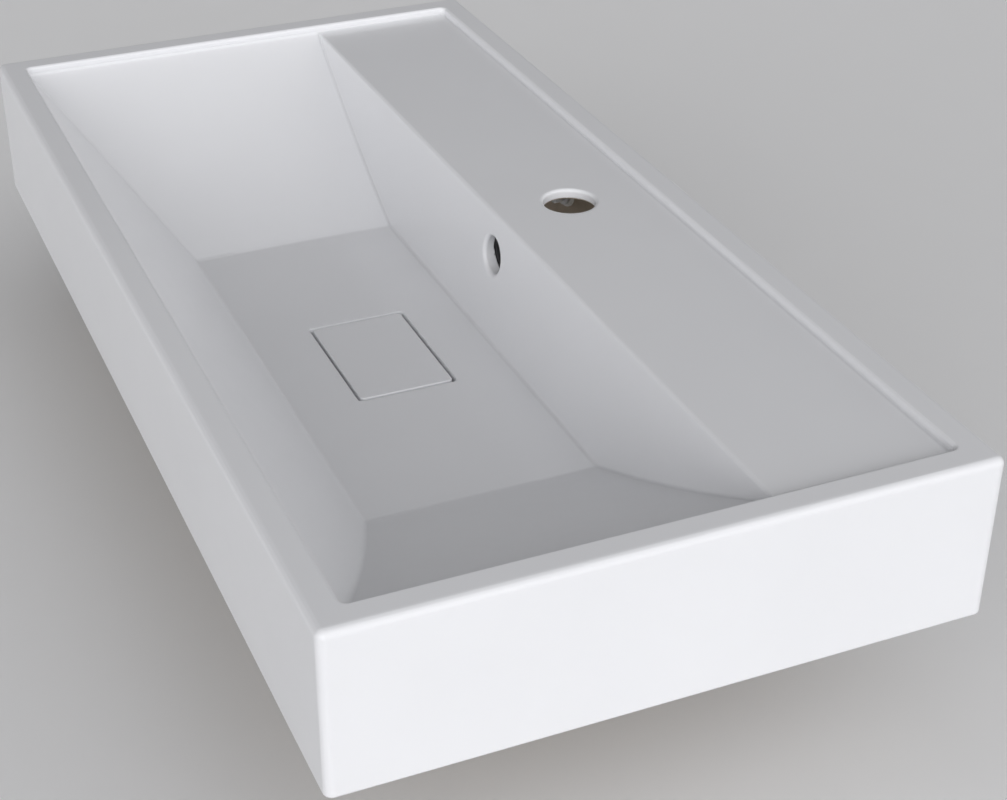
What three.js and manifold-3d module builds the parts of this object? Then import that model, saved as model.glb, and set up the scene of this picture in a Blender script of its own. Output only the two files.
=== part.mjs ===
// Rectangular washbasin with a tap deck, a flush drain cover, a push-open waste, an external
// overflow pipe and a wall-fixing set. Millimetres, +Z up, +X to the right seen from the front,
// +Y towards the wall. The origin is on the wall face, midway between the two wall bolts.
import * as THREE from "three";
import { mergeVertices } from "three/addons/utils/BufferGeometryUtils.js";
import Module from "manifold-3d";

const wasm = await Module();
wasm.setup();

// ---- Driving dimensions. Heights are above the underside of the skirt; depths are from the wall. ----
const LENGTH = 800;
const DEPTH = 400;
const HEIGHT = 107;
const EDGE_ROUND = 5; // top outer edges
const CORNER_ROUND = 5.5; // upright outer corners
const RIM = 20; // flat rim round the recess
const RIM_DROP = 6; // the deck lies this far under the rim
const RECESS_ROUND = 4;
const DECK_FRONT = -134; // where the tap deck ends and the bowl's back wall starts
const DECK_THICKNESS = 8;
const FLOOR_Z = 9; // top of the bowl's floor
const FLOOR_HALF = 188; // half the length of the bowl's flat floor
const FLOOR_FRONT = -301.7;
const FLOOR_BACK = -143.7;
const END_SAG = 3.6; // how far each end wall's arc hangs under its chord
const WALL = 9; // bowl wall and floor
const SKIRT = 12; // outer wall

const DRAIN_Y = -221;
const POCKET = { length: 107, width: 71, round: 3, floor: -12 };
const COVER_GAP = 2;
const COVER_THICKNESS = 6;

const TAP = { y: -78, radius: 18.5, lip: 2.2 };
const OVERFLOW = { z: 70, radius: 13.4, lip: 3, depth: 8.5, pad: -122, padHalfX: 34, padLow: 50 };
const COLLAR = { outer: 16.2, inner: 12 }; // the overflow elbow's collar, seated in the basin
const FIXING = { z: 38, halfSpacing: 140, hole: 9 };

const CLEAR = 0.3; // gap between pieces that touch
const TUBE = { outer: 20.75, inner: 18, bottom: -100 };
const PORT = { z: -72, outer: 10, inner: 8, end: -176 };
const PIPE = { radius: 7.5, bore: 6, y: -109.5, bend: 28 };
const ROUND_STEPS = 36; // sides of a large round piece
const SMALL_STEPS = 20; // sides of a small round piece

const DECK_Z = HEIGHT - RIM_DROP;
const INNER_HALF = LENGTH / 2 - RIM; // half the length inside the rim
const INNER_FRONT = RIM - DEPTH;
const ALONG_Y = new THREE.Matrix4().makeRotationX(-Math.PI / 2); // local +Z becomes +Y
const PROFILE_ALONG_X = new THREE.Matrix4().makeBasis(
  new THREE.Vector3(0, 1, 0),
  new THREE.Vector3(0, 0, 1),
  new THREE.Vector3(1, 0, 0),
);
const PROFILE_ALONG_Y = new THREE.Matrix4().makeRotationX(Math.PI / 2); // shape's y becomes z

// ---- Materials ----
const look = (color, roughness, metalness) =>
  new THREE.MeshStandardMaterial({ color, roughness, metalness });
const GLAZE = look(0xf1f2f4, 0.25, 0);
const CHROME = look(0xd9dcdf, 0.12, 1);
const BRASS = look(0xb9974f, 0.35, 1);
const STEEL = look(0xaeb2b6, 0.35, 1);
const RUBBER = look(0x2a2b2c, 0.8, 0);
const BLACK_PLASTIC = look(0x303134, 0.5, 0);
const WHITE_PLASTIC = look(0xe9e9e6, 0.45, 0);
const GREY_PLASTIC = look(0x8e9194, 0.5, 0);

// ---- Solids ----
function solidOf(geometry) {
  geometry.deleteAttribute("normal");
  geometry.deleteAttribute("uv");
  const merged = mergeVertices(geometry, 1e-4);
  const vertProperties = merged.attributes.position.array;
  const triVerts = new Uint32Array(merged.index.array);
  return new wasm.Manifold(new wasm.Mesh({ numProp: 3, vertProperties, triVerts }));
}

function geometryOf(solid) {
  const { vertProperties, triVerts } = solid.getMesh();
  const geometry = new THREE.BufferGeometry();
  geometry.setAttribute("position", new THREE.BufferAttribute(vertProperties, 3));
  geometry.setIndex(new THREE.BufferAttribute(triVerts, 1));
  const faceted = geometry.toNonIndexed();
  faceted.computeVertexNormals();
  return faceted;
}

function box(x, y, z) {
  const geometry = new THREE.BoxGeometry(x[1] - x[0], y[1] - y[0], z[1] - z[0]);
  geometry.translate((x[0] + x[1]) / 2, (y[0] + y[1]) / 2, (z[0] + z[1]) / 2);
  return solidOf(geometry);
}

// A solid of revolution about +Z. The outline is [radius, height] pairs, anticlockwise.
function turned(outline, steps = ROUND_STEPS) {
  const points = outline.map(([radius, height]) => new THREE.Vector2(radius, height));
  if (outline[0][0] > 0) points.push(points[0].clone());
  const geometry = new THREE.LatheGeometry(points, steps);
  geometry.rotateX(Math.PI / 2);
  return solidOf(geometry);
}

function ring(outer, inner, low, high, steps = ROUND_STEPS) {
  return turned([[inner, low], [outer, low], [outer, high], [inner, high]], steps);
}

function rod(radius, low, high, steps = ROUND_STEPS) {
  return turned([[0, low], [radius, low], [radius, high], [0, high]], steps);
}

function roundedRectangle(length, width, round) {
  const x = length / 2;
  const y = width / 2;
  const shape = new THREE.Shape();
  shape.moveTo(-x + round, -y);
  shape.lineTo(x - round, -y);
  shape.absarc(x - round, -y + round, round, -Math.PI / 2, 0, false);
  shape.lineTo(x, y - round);
  shape.absarc(x - round, y - round, round, 0, Math.PI / 2, false);
  shape.lineTo(-x + round, y);
  shape.absarc(-x + round, y - round, round, Math.PI / 2, Math.PI, false);
  shape.lineTo(-x, -y + round);
  shape.absarc(-x + round, -y + round, round, Math.PI, Math.PI * 1.5, false);
  return shape;
}

function hexagon(acrossFlats, bore) {
  const corner = acrossFlats / Math.sqrt(3);
  const shape = new THREE.Shape();
  for (let i = 0; i < 6; i += 1) {
    const angle = (i * Math.PI) / 3;
    shape[i ? "lineTo" : "moveTo"](corner * Math.cos(angle), corner * Math.sin(angle));
  }
  shape.closePath();
  shape.holes.push(new THREE.Path().absarc(0, 0, bore, 0, 2 * Math.PI, true));
  return shape;
}

function extruded(shape, low, high, curveSegments = 5) {
  const options = { depth: high - low, bevelEnabled: false, curveSegments };
  const geometry = new THREE.ExtrudeGeometry(shape, options);
  geometry.translate(0, 0, low);
  return solidOf(geometry);
}

const moved = (solid, x, y, z) => solid.translate([x, y, z]);

function placed(solid, matrix, x, y, z) {
  const geometry = geometryOf(solid);
  geometry.applyMatrix4(matrix);
  return moved(solidOf(geometry), x, y, z);
}

// ---- Basin ----
// The bowl along its length: a flat floor and two end walls, each a shallow arc that rises from the
// floor to the rim. grow pushes the outline outwards, which gives the underside of the wall.
function bowlAlongLength(grow) {
  const run = INNER_HALF - FLOOR_HALF;
  const rise = DECK_Z - FLOOR_Z;
  const chord = Math.hypot(run, rise);
  const radius = (chord * chord) / (8 * END_SAG) + END_SAG / 2;
  const toCentre = radius - END_SAG;
  const centreX = FLOOR_HALF + run / 2 - (toCentre * rise) / chord;
  const centreZ = FLOOR_Z + rise / 2 + (toCentre * run) / chord;
  const grown = radius + grow;
  const from = Math.acos((centreZ - FLOOR_Z + grow) / grown);
  const to = Math.acos((centreZ - DECK_Z) / grown);
  const wall = [];
  const steps = 8;
  for (let i = 0; i <= steps; i += 1) {
    const angle = from + ((to - from) * i) / steps;
    wall.push([centreX + grown * Math.sin(angle), centreZ - grown * Math.cos(angle)]);
  }
  const [topX] = wall[steps];
  const right = [...wall, [topX, HEIGHT + 20]];
  const left = right.map(([x, z]) => [-x, z]).reverse();
  const shape = new THREE.Shape([...right, ...left].map(([x, z]) => new THREE.Vector2(x, z)));
  const along = extruded(shape, 0, DEPTH);
  return placed(along, PROFILE_ALONG_Y, 0, 0, 0);
}

// The bowl from front to back: a sloping front wall, the floor and a steep back wall.
function bowlAcross(grow) {
  const rise = DECK_Z - FLOOR_Z;
  const front = (INNER_FRONT - FLOOR_FRONT) / rise;
  const back = (DECK_FRONT - FLOOR_BACK) / rise;
  const frontY = (z) => FLOOR_FRONT + front * (z - FLOOR_Z) - grow * Math.hypot(1, front);
  const backY = (z) => FLOOR_BACK + back * (z - FLOOR_Z) + grow * Math.hypot(1, back);
  const low = FLOOR_Z - grow;
  const outline = [
    [frontY(low), low],
    [backY(low), low],
    [backY(DECK_Z), DECK_Z],
    [backY(DECK_Z), HEIGHT + 20],
    [frontY(DECK_Z), HEIGHT + 20],
    [frontY(DECK_Z), DECK_Z],
  ];
  const shape = new THREE.Shape(outline.map(([y, z]) => new THREE.Vector2(y, z)));
  const across = extruded(shape, -LENGTH / 2, LENGTH / 2);
  return placed(across, PROFILE_ALONG_X, 0, 0, 0);
}

const bowl = (grow) => bowlAlongLength(grow).intersect(bowlAcross(grow));

function outerBlock() {
  const geometry = new THREE.ExtrudeGeometry(roundedRectangle(LENGTH, DEPTH, CORNER_ROUND), {
    depth: HEIGHT,
    bevelEnabled: true,
    bevelThickness: EDGE_ROUND,
    bevelSize: EDGE_ROUND,
    bevelOffset: -EDGE_ROUND,
    bevelSegments: 4,
    curveSegments: 5,
  });
  geometry.translate(0, -DEPTH / 2, -EDGE_ROUND);
  const under = box([-LENGTH, LENGTH], [-DEPTH - 10, 10], [-40, 0]);
  return solidOf(geometry).subtract(under);
}

// The open hollow under the deck and round the bowl, inside the skirt.
function underside() {
  const x = LENGTH / 2 - SKIRT;
  const block = box([-x, x], [SKIRT - DEPTH, -SKIRT], [-40, DECK_Z - DECK_THICKNESS]);
  return block.subtract(bowl(WALL));
}

// A round hole along +Z whose mouth at height mouth flares out in a quarter-round lip.
function flaredHole(radius, lip, low, mouth, high) {
  const outline = [[0, low], [radius, low]];
  const steps = 4;
  for (let i = 0; i <= steps; i += 1) {
    const angle = (Math.PI / 2) * (i / steps);
    outline.push([radius + lip - lip * Math.cos(angle), mouth - lip + lip * Math.sin(angle)]);
  }
  outline.push([radius + lip, high], [0, high]);
  return turned(outline);
}

// Where the overflow's axis meets the bowl's back wall.
function overflowMouthY() {
  const up = (OVERFLOW.z - FLOOR_Z) / (DECK_Z - FLOOR_Z);
  return FLOOR_BACK + up * (DECK_FRONT - FLOOR_BACK);
}

// A lipped bore, then a wider seat for the overflow elbow's collar.
function overflowHole() {
  const slope = (DECK_FRONT - FLOOR_BACK) / (DECK_Z - FLOOR_Z);
  const mouthY = overflowMouthY();
  const flare = flaredHole(OVERFLOW.radius, OVERFLOW.lip, -4, 0, 12);
  const towardsBowl = new THREE.Matrix4().makeRotationX(Math.PI / 2 - Math.atan(slope));
  const { radius, depth, z } = OVERFLOW;
  const bore = rod(radius, 2, depth).add(rod(COLLAR.outer + CLEAR, depth, 30));
  return placed(flare, towardsBowl, 0, mouthY, z).add(placed(bore, ALONG_Y, 0, mouthY, z));
}

function makeBasin() {
  const { length, width, round, floor } = POCKET;
  const boss = extruded(
    roundedRectangle(length + 2 * WALL, width + 2 * WALL, round + WALL),
    floor - WALL,
    FLOOR_Z - 1,
  );
  const pad = box(
    [-OVERFLOW.padHalfX, OVERFLOW.padHalfX],
    [-140, OVERFLOW.pad],
    [OVERFLOW.padLow, DECK_Z - 1],
  );
  const recess = extruded(
    roundedRectangle(2 * INNER_HALF, DEPTH - 2 * RIM, RECESS_ROUND),
    DECK_Z,
    HEIGHT + 20,
  );
  const pocket = extruded(roundedRectangle(length, width, round), floor, FLOOR_Z + 5);
  const wasteHole = rod(TUBE.outer + 1.25, floor - 2 * WALL, floor + 1);
  const tapHole = flaredHole(TAP.radius, TAP.lip, DECK_Z - 20, DECK_Z, HEIGHT);
  const fixingHole = placed(rod(FIXING.hole, -20, 5, SMALL_STEPS), ALONG_Y, 0, 0, 0);
  const screwHole = placed(rod(2.3, -6, 1, 12), ALONG_Y, 0, OVERFLOW.pad, 0);
  return outerBlock()
    .subtract(underside())
    .add(moved(boss, 0, DRAIN_Y, 0))
    .add(pad)
    .subtract(bowl(0))
    .subtract(moved(recess, 0, -DEPTH / 2, 0))
    .subtract(moved(pocket, 0, DRAIN_Y, 0))
    .subtract(moved(wasteHole, 0, DRAIN_Y, 0))
    .subtract(moved(tapHole, 0, TAP.y, 0))
    .subtract(overflowHole())
    .subtract(moved(fixingHole, -FIXING.halfSpacing, 0, FIXING.z))
    .subtract(moved(fixingHole, FIXING.halfSpacing, 0, FIXING.z))
    .subtract(moved(screwHole, -SCREW_X, 0, OVERFLOW.z))
    .subtract(moved(screwHole, SCREW_X, 0, OVERFLOW.z));
}

// ---- Drain cover, plug and clicker, all on the drain's axis ----
const PLUG_Z = POCKET.floor + 6.4; // underside of the plug's disc when shut
const PLUG_DISC = 3.4;
const BARREL = { radius: 6, bore: 4.6, mouth: 3.5, top: -16, bottom: -52, floor: 2 };
const HUB_Z = -36; // underside of the hub that carries the clicker
const HUB_HEIGHT = 4;
const PISTON_Z = -42;

function makeCoverPlate() {
  const length = POCKET.length - 2 * COVER_GAP;
  const width = POCKET.width - 2 * COVER_GAP;
  const edge = 1;
  const geometry = new THREE.ExtrudeGeometry(roundedRectangle(length, width, POCKET.round), {
    depth: COVER_THICKNESS - 2 * edge,
    bevelEnabled: true,
    bevelThickness: edge,
    bevelSize: edge,
    bevelOffset: -edge,
    bevelSegments: 2,
    curveSegments: 4,
  });
  geometry.translate(0, 0, FLOOR_Z - COVER_THICKNESS + edge);
  return solidOf(geometry);
}

// A disc bonded under the cover, with a skirt that grips the plug's disc from above.
function makeCoverCarrier() {
  const top = FLOOR_Z - COVER_THICKNESS - CLEAR;
  const bottom = PLUG_Z + PLUG_DISC + CLEAR;
  const skirt = bottom - 2;
  return turned([
    [0, bottom], [23.4, bottom], [23.4, skirt], [25.6, skirt], [25.6, top - 1.2], [30, top - 1.2],
    [30, top], [0, top],
  ]);
}

function makePlugDisc() {
  const top = PLUG_Z + PLUG_DISC;
  const socket = 3 + CLEAR;
  return turned([
    [0, PLUG_Z], [socket, PLUG_Z], [socket, PLUG_Z - 8], [7, PLUG_Z - 8], [7, PLUG_Z],
    [22, PLUG_Z], [23, PLUG_Z + 1], [23, top - 0.8], [22.2, top], [0, top],
  ]);
}

const makePlugSeal = () => ring(21.6, 17, POCKET.floor + 4.3, PLUG_Z - CLEAR);

function makeClickerPin() {
  const top = PLUG_Z - CLEAR;
  return turned([
    [0, PISTON_Z], [4.2, PISTON_Z], [4.2, PISTON_Z + 3], [3, PISTON_Z + 3], [3, top], [0, top],
  ], SMALL_STEPS);
}

// The barrel's narrow mouth keeps the pin's piston in.
function makeClickerBarrel() {
  const { radius, bore, mouth, top, bottom, floor } = BARREL;
  const shoulder = HUB_Z + HUB_HEIGHT + CLEAR;
  return turned([
    [0, bottom], [radius, bottom], [radius, shoulder], [8.5, shoulder], [8.5, shoulder + 3],
    [radius, shoulder + 3], [radius, top], [mouth, top], [mouth, top - 2], [bore, top - 2],
    [bore, bottom + floor], [0, bottom + floor],
  ], SMALL_STEPS);
}

const makeClickerNut = () =>
  extruded(hexagon(18, BARREL.radius + CLEAR), HUB_Z - CLEAR - 5, HUB_Z - CLEAR, 8);

// A wire wound on a helix between the barrel's floor and the pin's piston.
function makeClickerSpring() {
  const wire = 0.5;
  const low = BARREL.bottom + BARREL.floor + CLEAR + wire;
  const high = PISTON_Z - CLEAR - wire;
  const turns = 4;
  class Helix extends THREE.Curve {
    getPoint(t, target = new THREE.Vector3()) {
      const angle = 2 * Math.PI * turns * t;
      return target.set(3.3 * Math.cos(angle), 3.3 * Math.sin(angle), low + (high - low) * t);
    }
  }
  const section = new THREE.Shape().absarc(0, 0, wire, 0, 2 * Math.PI, false);
  const options = { steps: 12 * turns, extrudePath: new Helix(), curveSegments: 3 };
  return solidOf(new THREE.ExtrudeGeometry(section, options));
}

// ---- Waste fitting ----
function makeWasteBody() {
  const flangeLow = POCKET.floor + 2;
  const flangeHigh = POCKET.floor + 4;
  const { outer, inner, bottom } = TUBE;
  const tube = turned([
    [inner, bottom], [outer, bottom], [outer, flangeLow], [31, flangeLow],
    [31, flangeHigh - 0.6], [30.4, flangeHigh], [inner, flangeHigh],
  ]);
  const reach = PORT.end - DRAIN_Y;
  const port = placed(rod(PORT.outer, inner + 1, reach, SMALL_STEPS), ALONG_Y, 0, 0, PORT.z);
  const portBore = placed(rod(PORT.inner, 5, reach + 5, SMALL_STEPS), ALONG_Y, 0, 0, PORT.z);
  const hub = ring(9, BARREL.radius + CLEAR, HUB_Z, HUB_Z + HUB_HEIGHT, SMALL_STEPS);
  let body = tube.add(port).subtract(portBore).add(hub);
  for (let i = 0; i < 3; i += 1) {
    const arm = box([7.5, inner + 0.5], [-1.5, 1.5], [HUB_Z, HUB_Z + HUB_HEIGHT]);
    body = body.add(arm.rotate([0, 0, 120 * i - 90]));
  }
  return body;
}

const SLEEVE = TUBE.outer + 0.5; // bore of everything that slides over the tube
const BOSS_LOW = POCKET.floor - WALL;
const makeFlangeGasket = () =>
  ring(29.5, TUBE.outer + 0.8, POCKET.floor + CLEAR, POCKET.floor + 2 - CLEAR);
const makeLowerGasket = () =>
  turned([
    [SLEEVE, BOSS_LOW - 6], [28, BOSS_LOW - 6], [33, BOSS_LOW - 2.5], [33, BOSS_LOW - CLEAR],
    [SLEEVE, BOSS_LOW - CLEAR],
  ]);
const makeSlipWasher = () => ring(31, SLEEVE, BOSS_LOW - 8.3, BOSS_LOW - 6.3);
function makeLockNut() {
  const high = BOSS_LOW - 8.6;
  const flats = extruded(hexagon(56, SLEEVE), high - 12, high, 24);
  return flats.add(ring(31.5, SLEEVE, high - 3, high));
}

// ---- Overflow: an elbow behind the bowl's back wall and a pipe down to the waste's side port ----
const SCREW_X = 25;
const ELBOW_BACK = -100;
const SPIGOT_LOW = 40;

const overflowAxis = (solid) => placed(solid, ALONG_Y, 0, 0, OVERFLOW.z);
const GASKET_BACK = OVERFLOW.pad + 2;
const makeOverflowGasket = () =>
  overflowAxis(ring(19.5, COLLAR.outer + 0.8, OVERFLOW.pad + CLEAR, GASKET_BACK - CLEAR));

function makeOverflowElbow() {
  const flange = extruded(roundedRectangle(62, 40, 8), GASKET_BACK, GASKET_BACK + 3);
  const collarFront = overflowMouthY() + OVERFLOW.depth + CLEAR;
  const collar = rod(COLLAR.outer, collarFront, GASKET_BACK + 1);
  const cup = rod(15, GASKET_BACK + 2, ELBOW_BACK);
  const inside = rod(COLLAR.inner, collarFront - 1, ELBOW_BACK - 2.5);
  const screwHole = rod(2.5, GASKET_BACK - 1, GASKET_BACK + 5, 12);
  const spigot = moved(rod(PORT.outer, SPIGOT_LOW, OVERFLOW.z, SMALL_STEPS), 0, PIPE.y, 0);
  const bore = moved(rod(PORT.inner, SPIGOT_LOW - 1, OVERFLOW.z, SMALL_STEPS), 0, PIPE.y, 0);
  return overflowAxis(flange.add(collar).add(cup))
    .add(spigot)
    .subtract(overflowAxis(inside))
    .subtract(bore)
    .subtract(overflowAxis(moved(screwHole, -SCREW_X, 0, 0)))
    .subtract(overflowAxis(moved(screwHole, SCREW_X, 0, 0)));
}

function makeOverflowScrew(x) {
  const seat = GASKET_BACK + 3 + CLEAR;
  const screw = turned([
    [0, OVERFLOW.pad - 5.5], [1.6, OVERFLOW.pad - 5.5], [2, OVERFLOW.pad - 4.5], [2, seat],
    [4, seat], [4, seat + 1.6], [3.2, seat + 2.6], [0, seat + 2.6],
  ], 16);
  return moved(overflowAxis(screw), x, 0, 0);
}

// A compression nut and its seal over a spigot that points down, with the spigot's end at height 0.
const makePipeNut = () =>
  turned([
    [PIPE.radius + 0.4, -7], [13.5, -7], [14, -6.5], [14, 8], [13.2, 9],
    [PORT.outer + CLEAR, 9], [PORT.outer + CLEAR, -3.8], [PIPE.radius + 0.4, -3.8],
  ], SMALL_STEPS);
const makePipeSeal = () =>
  ring(PORT.outer, PIPE.radius + CLEAR, -3.5, -CLEAR, SMALL_STEPS);
const SPIGOT_FACES_WALL = new THREE.Matrix4().makeRotationX(Math.PI / 2); // local -Z becomes +Y

function makeOverflowPipe() {
  const inserted = 9; // how far the pipe reaches into each spigot
  const top = new THREE.Vector3(0, PIPE.y, SPIGOT_LOW + inserted);
  const bendTop = new THREE.Vector3(0, PIPE.y, PORT.z + PIPE.bend);
  const bendCorner = new THREE.Vector3(0, PIPE.y, PORT.z);
  const bendEnd = new THREE.Vector3(0, PIPE.y - PIPE.bend, PORT.z);
  const end = new THREE.Vector3(0, PORT.end - inserted, PORT.z);
  const route = new THREE.CurvePath();
  route.add(new THREE.LineCurve3(top, bendTop));
  route.add(new THREE.QuadraticBezierCurve3(bendTop, bendCorner, bendEnd));
  route.add(new THREE.LineCurve3(bendEnd, end));
  const section = (radius) =>
    new THREE.Shape().absarc(0, 0, radius, 0, 2 * Math.PI, false);
  const wall = section(PIPE.radius);
  wall.holes.push(new THREE.Path().absarc(0, 0, PIPE.bore, 0, 2 * Math.PI, true));
  const options = { steps: 26, extrudePath: route, curveSegments: 8 };
  return solidOf(new THREE.ExtrudeGeometry(wall, options));
}

// ---- Wall fixing: anchor and hanger bolt in the wall, bush, washer and nut inside the skirt ----
const BOLT = 5;
const wallAxis = (solid, side) =>
  placed(solid, ALONG_Y, side * FIXING.halfSpacing, 0, FIXING.z);
const bushBack = -SKIRT - CLEAR;

function makeWallAnchor(side) {
  const lip = 0.6;
  const anchor = turned([
    [BOLT + CLEAR, lip], [8.5, lip], [8.5, lip + 1.2], [7, lip + 1.2], [7, 52], [6, 58],
    [BOLT + CLEAR, 58],
  ], SMALL_STEPS);
  return wallAxis(anchor, side);
}

function makeWallBolt(side) {
  const bolt = turned([
    [0, -40], [BOLT - 1, -40], [BOLT, -39], [BOLT, 44], [2, 54], [0, 54],
  ], SMALL_STEPS);
  return wallAxis(bolt, side);
}

function makeWallBush(side) {
  const bush = turned([
    [BOLT + CLEAR, bushBack - 3], [14, bushBack - 3], [14, bushBack],
    [FIXING.hole - CLEAR, bushBack], [FIXING.hole - CLEAR, -1], [BOLT + CLEAR, -1],
  ], SMALL_STEPS);
  return wallAxis(bush, side);
}

const makeWallWasher = (side) =>
  wallAxis(ring(12, BOLT + CLEAR, bushBack - 5.6, bushBack - 3.3, SMALL_STEPS), side);
const makeWallNut = (side) =>
  wallAxis(extruded(hexagon(17, BOLT + CLEAR), bushBack - 13.9, bushBack - 5.9, 8), side);

// ---- Assembly ----
const sink = new THREE.Group();
sink.position.z = -FIXING.z;
const drain = new THREE.Group();
drain.position.y = DRAIN_Y;
sink.add(drain);

function addPiece(parent, name, solid, material) {
  const mesh = new THREE.Mesh(geometryOf(solid), material.clone());
  mesh.name = name;
  parent.add(mesh);
}

addPiece(sink, "basin", makeBasin(), GLAZE);
addPiece(drain, "cover_plate", makeCoverPlate(), GLAZE);
addPiece(drain, "cover_carrier", makeCoverCarrier(), GREY_PLASTIC);
addPiece(drain, "plug_disc", makePlugDisc(), CHROME);
addPiece(drain, "plug_seal", makePlugSeal(), RUBBER);
addPiece(drain, "clicker_pin", makeClickerPin(), BRASS);
addPiece(drain, "clicker_spring", makeClickerSpring(), STEEL);
addPiece(drain, "clicker_barrel", makeClickerBarrel(), BRASS);
addPiece(drain, "clicker_nut", makeClickerNut(), BRASS);
addPiece(drain, "waste_body", makeWasteBody(), CHROME);
addPiece(drain, "waste_flange_gasket", makeFlangeGasket(), RUBBER);
addPiece(drain, "waste_lower_gasket", makeLowerGasket(), RUBBER);
addPiece(drain, "waste_slip_washer", makeSlipWasher(), WHITE_PLASTIC);
addPiece(drain, "waste_lock_nut", makeLockNut(), BRASS);
addPiece(sink, "overflow_gasket", makeOverflowGasket(), RUBBER);
addPiece(sink, "overflow_elbow", makeOverflowElbow(), BLACK_PLASTIC);
addPiece(sink, "overflow_screw_left", makeOverflowScrew(-SCREW_X), STEEL);
addPiece(sink, "overflow_screw_right", makeOverflowScrew(SCREW_X), STEEL);
addPiece(sink, "overflow_pipe", makeOverflowPipe(), WHITE_PLASTIC);
const upper = [0, PIPE.y, SPIGOT_LOW];
addPiece(sink, "overflow_nut_upper", moved(makePipeNut(), ...upper), GREY_PLASTIC);
addPiece(sink, "overflow_seal_upper", moved(makePipeSeal(), ...upper), RUBBER);
const lower = [SPIGOT_FACES_WALL, 0, PORT.end, PORT.z];
addPiece(sink, "overflow_nut_lower", placed(makePipeNut(), ...lower), GREY_PLASTIC);
addPiece(sink, "overflow_seal_lower", placed(makePipeSeal(), ...lower), RUBBER);
for (const [name, side] of [["left", -1], ["right", 1]]) {
  addPiece(sink, "wall_anchor_" + name, makeWallAnchor(side), GREY_PLASTIC);
  addPiece(sink, "wall_bolt_" + name, makeWallBolt(side), STEEL);
  addPiece(sink, "wall_bush_" + name, makeWallBush(side), WHITE_PLASTIC);
  addPiece(sink, "wall_washer_" + name, makeWallWasher(side), STEEL);
  addPiece(sink, "wall_nut_" + name, makeWallNut(side), STEEL);
}

const group = new THREE.Group();
group.add(sink);
export default group;
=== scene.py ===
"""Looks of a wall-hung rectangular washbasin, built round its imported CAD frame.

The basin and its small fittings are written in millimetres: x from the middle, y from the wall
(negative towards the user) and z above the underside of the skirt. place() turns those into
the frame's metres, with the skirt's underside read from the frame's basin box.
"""

import functools
import math

import bmesh
import bpy
import numpy as np
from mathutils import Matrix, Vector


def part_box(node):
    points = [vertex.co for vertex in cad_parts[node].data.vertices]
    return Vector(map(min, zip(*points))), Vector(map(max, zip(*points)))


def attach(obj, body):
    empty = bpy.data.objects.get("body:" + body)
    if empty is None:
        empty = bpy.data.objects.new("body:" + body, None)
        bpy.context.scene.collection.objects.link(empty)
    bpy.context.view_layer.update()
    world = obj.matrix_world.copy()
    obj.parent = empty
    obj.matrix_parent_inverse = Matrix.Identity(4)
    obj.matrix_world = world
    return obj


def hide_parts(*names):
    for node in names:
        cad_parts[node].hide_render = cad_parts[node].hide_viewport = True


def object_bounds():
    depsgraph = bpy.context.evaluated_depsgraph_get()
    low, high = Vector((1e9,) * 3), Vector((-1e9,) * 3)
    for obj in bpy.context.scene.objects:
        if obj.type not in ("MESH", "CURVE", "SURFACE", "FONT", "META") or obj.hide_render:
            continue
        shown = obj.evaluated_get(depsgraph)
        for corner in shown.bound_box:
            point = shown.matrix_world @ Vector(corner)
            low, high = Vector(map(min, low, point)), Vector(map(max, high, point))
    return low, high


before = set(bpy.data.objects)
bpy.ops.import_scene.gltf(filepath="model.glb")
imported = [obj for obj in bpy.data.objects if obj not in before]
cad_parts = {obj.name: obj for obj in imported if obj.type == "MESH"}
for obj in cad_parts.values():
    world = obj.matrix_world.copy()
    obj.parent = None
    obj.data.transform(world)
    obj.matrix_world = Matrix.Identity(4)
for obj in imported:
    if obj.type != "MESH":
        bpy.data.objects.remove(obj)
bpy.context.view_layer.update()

MM = 0.001
CLEAR = 0.3  # mm between pieces that touch

# ---- Basin, mm ----
LENGTH, DEPTH, HEIGHT = 800.0, 400.0, 107.0
RIM, RIM_DROP, SKIRT, WALL = 20.0, 6.0, 12.0, 9.0
DECK_Z = HEIGHT - RIM_DROP
DECK_THICKNESS = 8.0
DECK_FRONT = -134.0
FLOOR_Z, FLOOR_HALF, FLOOR_FRONT, FLOOR_BACK = 9.0, 188.0, -301.7, -143.7
END_SAG = 3.6  # how far an end wall's arc hangs under its chord
DRAIN_Y = -221.0
POCKET_LENGTH, POCKET_WIDTH, POCKET_FLOOR = 107.0, 71.0, -12.0
BOSS_BOTTOM = POCKET_FLOOR - WALL
WASTE_HOLE = 22.0
TAP_Y, TAP_RADIUS = -78.0, 18.5
OVERFLOW_Z, OVERFLOW_RADIUS, OVERFLOW_DEPTH = 70.0, 13.4, 8.5
COLLAR = 16.2  # the overflow elbow's collar
PAD_BACK, PAD_HALF, PAD_LOW = -122.0, 34.0, 50.0
FIXING_X, FIXING_Z, FIXING_RADIUS = 140.0, 38.0, 9.0
CORNER, EDGE, FOOT_EDGE = 5.5, 5.0, 1.6  # radii of the upright corners, the top edge and the foot
SKIRT_CORNER, HOLLOW_FILLET, CAST_EDGE, BOSS_CORNER = 6.0, 6.0, 2.0, 12.0  # radii underneath
RECESS_CORNER, RECESS_FOOT, RIM_EDGE = 4.0, 1.8, 2.6  # radii of the recess inside the rim
POCKET_CORNER, POCKET_FOOT, POCKET_EDGE = 3.0, 2.0, 1.0  # radii of the drain's pocket
TAP_LIP, OVERFLOW_LIP = 2.2, 2.8  # radii of the holes' glazed lips
OVERFLOW_REACH = 28.0  # how far the overflow's bore is cut each way from its mouth
FIXING_DEPTH = 30.0
SKIRT_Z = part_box("basin")[1].z / MM - HEIGHT  # the skirt's underside in the frame


def place(points):
    """Basin millimetres to frame metres."""
    moved = np.array(points, float)
    moved[..., 2] += SKIRT_Z
    return moved * MM


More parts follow.
